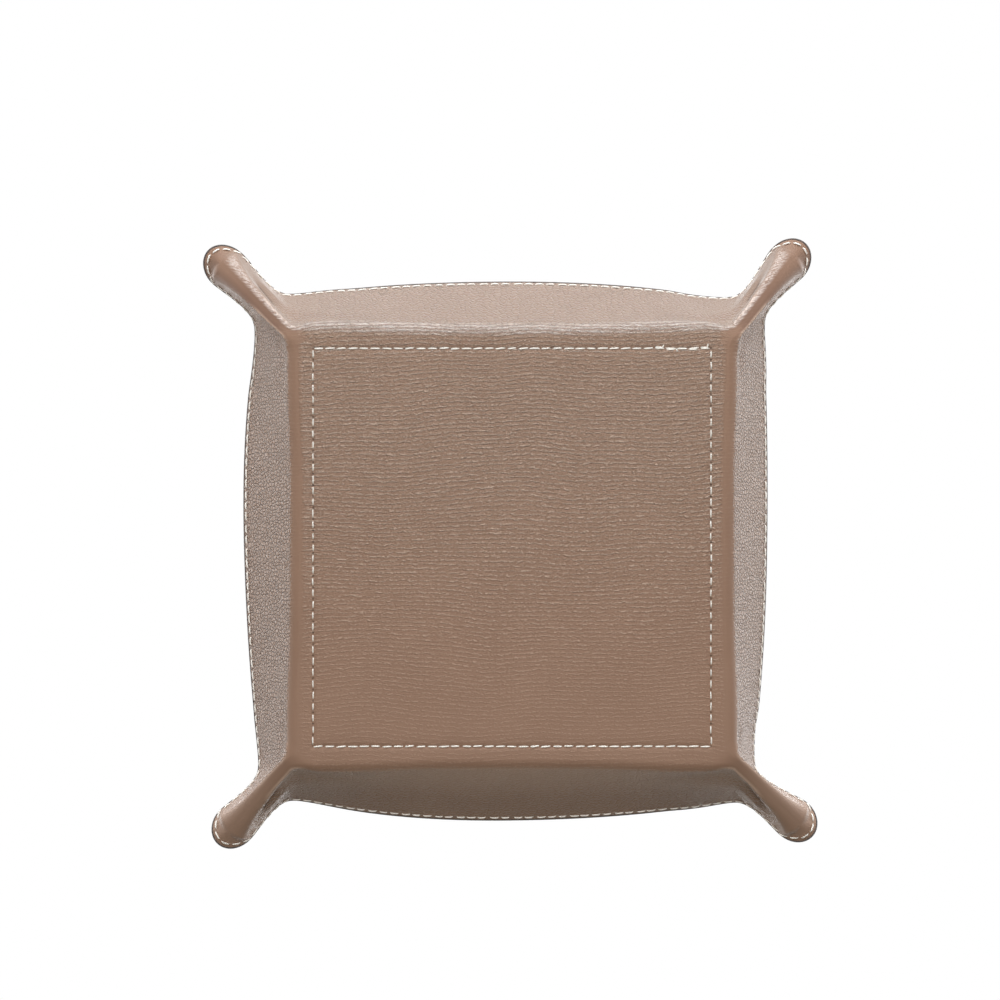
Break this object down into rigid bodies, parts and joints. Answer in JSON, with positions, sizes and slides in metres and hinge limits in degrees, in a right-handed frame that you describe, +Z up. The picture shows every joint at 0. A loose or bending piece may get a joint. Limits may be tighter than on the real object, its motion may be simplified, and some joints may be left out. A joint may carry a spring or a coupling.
{
  "type": "valet tray",
  "caption": "Shallow square leather tray with rolled, outward-leaning walls, pinched ear-shaped corners and contrast stitching, for keys and small things.",
  "frame": {"origin": "centre of the flat underside, on the surface the tray stands on", "axes": "+Z up out of the open tray, X and Y square to the walls of the base"},
  "size_m": [0.1921, 0.1909, 0.0326],
  "materials": {
    "outer_leather": "fine-grained taupe leather, satin",
    "lining_leather": "smooth taupe leather, satin",
    "board": "pressed grey board, matt",
    "thread": "off-white waxed thread"
  },
  "bodies": {
    "root": {"outer_leather": "outer_leather", "lining_leather": "lining_leather", "base_board": "board", "base_seam_outer_thread": "thread", "base_seam_inner_thread": "thread", "rim_seam_outer_thread": "thread", "rim_seam_inner_thread": "thread", "corner_tack_front_left": "thread", "corner_tack_front_right": "thread", "corner_tack_rear_left": "thread", "corner_tack_rear_right": "thread"}
  },
  "joints": []
}
